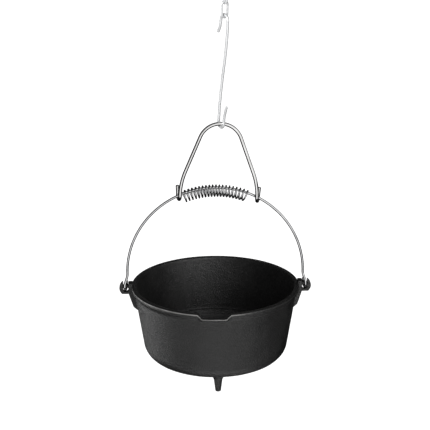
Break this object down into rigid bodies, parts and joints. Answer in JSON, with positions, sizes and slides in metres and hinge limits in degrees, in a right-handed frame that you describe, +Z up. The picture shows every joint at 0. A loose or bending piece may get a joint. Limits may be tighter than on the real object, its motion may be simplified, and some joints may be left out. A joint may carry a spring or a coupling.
{
  "type": "hanging camp oven",
  "caption": "Three-legged cast-iron camp oven on a wire bail with spring grip, hung by a rod hanger, S-hook and short chain.",
  "frame": {"origin": "point on the inside top of the hang ring where a hook or tripod bears", "axes": "+Z up along the hanging line, -Y the side with the pouring notch and the front foot, +X to the right"},
  "size_m": [0.3408, 0.2997, 0.7369],
  "materials": {
    "iron": "seasoned satin black",
    "bright_wire": "bright plated",
    "bright_rod": "bright plated",
    "zinc": "bright zinc plated"
  },
  "bodies": {
    "ring": {"hang_ring": "zinc"},
    "chain": {"chain_link_3": "zinc", "chain_link_2": "zinc", "chain_link_1": "zinc"},
    "s_hook": {"s_hook": "zinc"},
    "pot_hanger": {"pot_hanger": "bright_rod"},
    "bail": {"bail": "bright_wire"},
    "pot": {"pot": "iron"},
    "grip": {"spring_grip": "bright_wire"}
  },
  "joints": [
    {"name": "chain_swing", "type": "hinge", "parent": "ring", "child": "chain", "pos_m": [0, 0, -0.0325], "axis": [0.5299, -0.848, 0], "range_deg": [-70, 70]},
    {"name": "s_hook_swing", "type": "hinge", "parent": "chain", "child": "s_hook", "pos_m": [0, 0, -0.1], "axis": [0.848, 0.5299, 0], "range_deg": [-60, 60]},
    {"name": "hanger_swing", "type": "hinge", "parent": "s_hook", "child": "pot_hanger", "pos_m": [0, 0, -0.27975], "axis": [1, 0, -0.0087], "range_deg": [-60, 60]},
    {"name": "bail_swing", "type": "hinge", "parent": "pot_hanger", "child": "bail", "pos_m": [-0.00112, 0, -0.4086], "axis": [1, 0, -0.0087], "range_deg": [-60, 30]},
    {"name": "pot_tip", "type": "hinge", "parent": "bail", "child": "pot", "pos_m": [-0.0016, 0, -0.57203], "axis": [0.9995, 0, 0.0314], "range_deg": [-100, 100]},
    {"name": "grip_slide", "type": "hinge", "parent": "bail", "child": "grip", "pos_m": [-0.00234, 0, -0.54824], "axis": [0, 1, 0], "range_deg": [0, 4]}
  ]
}
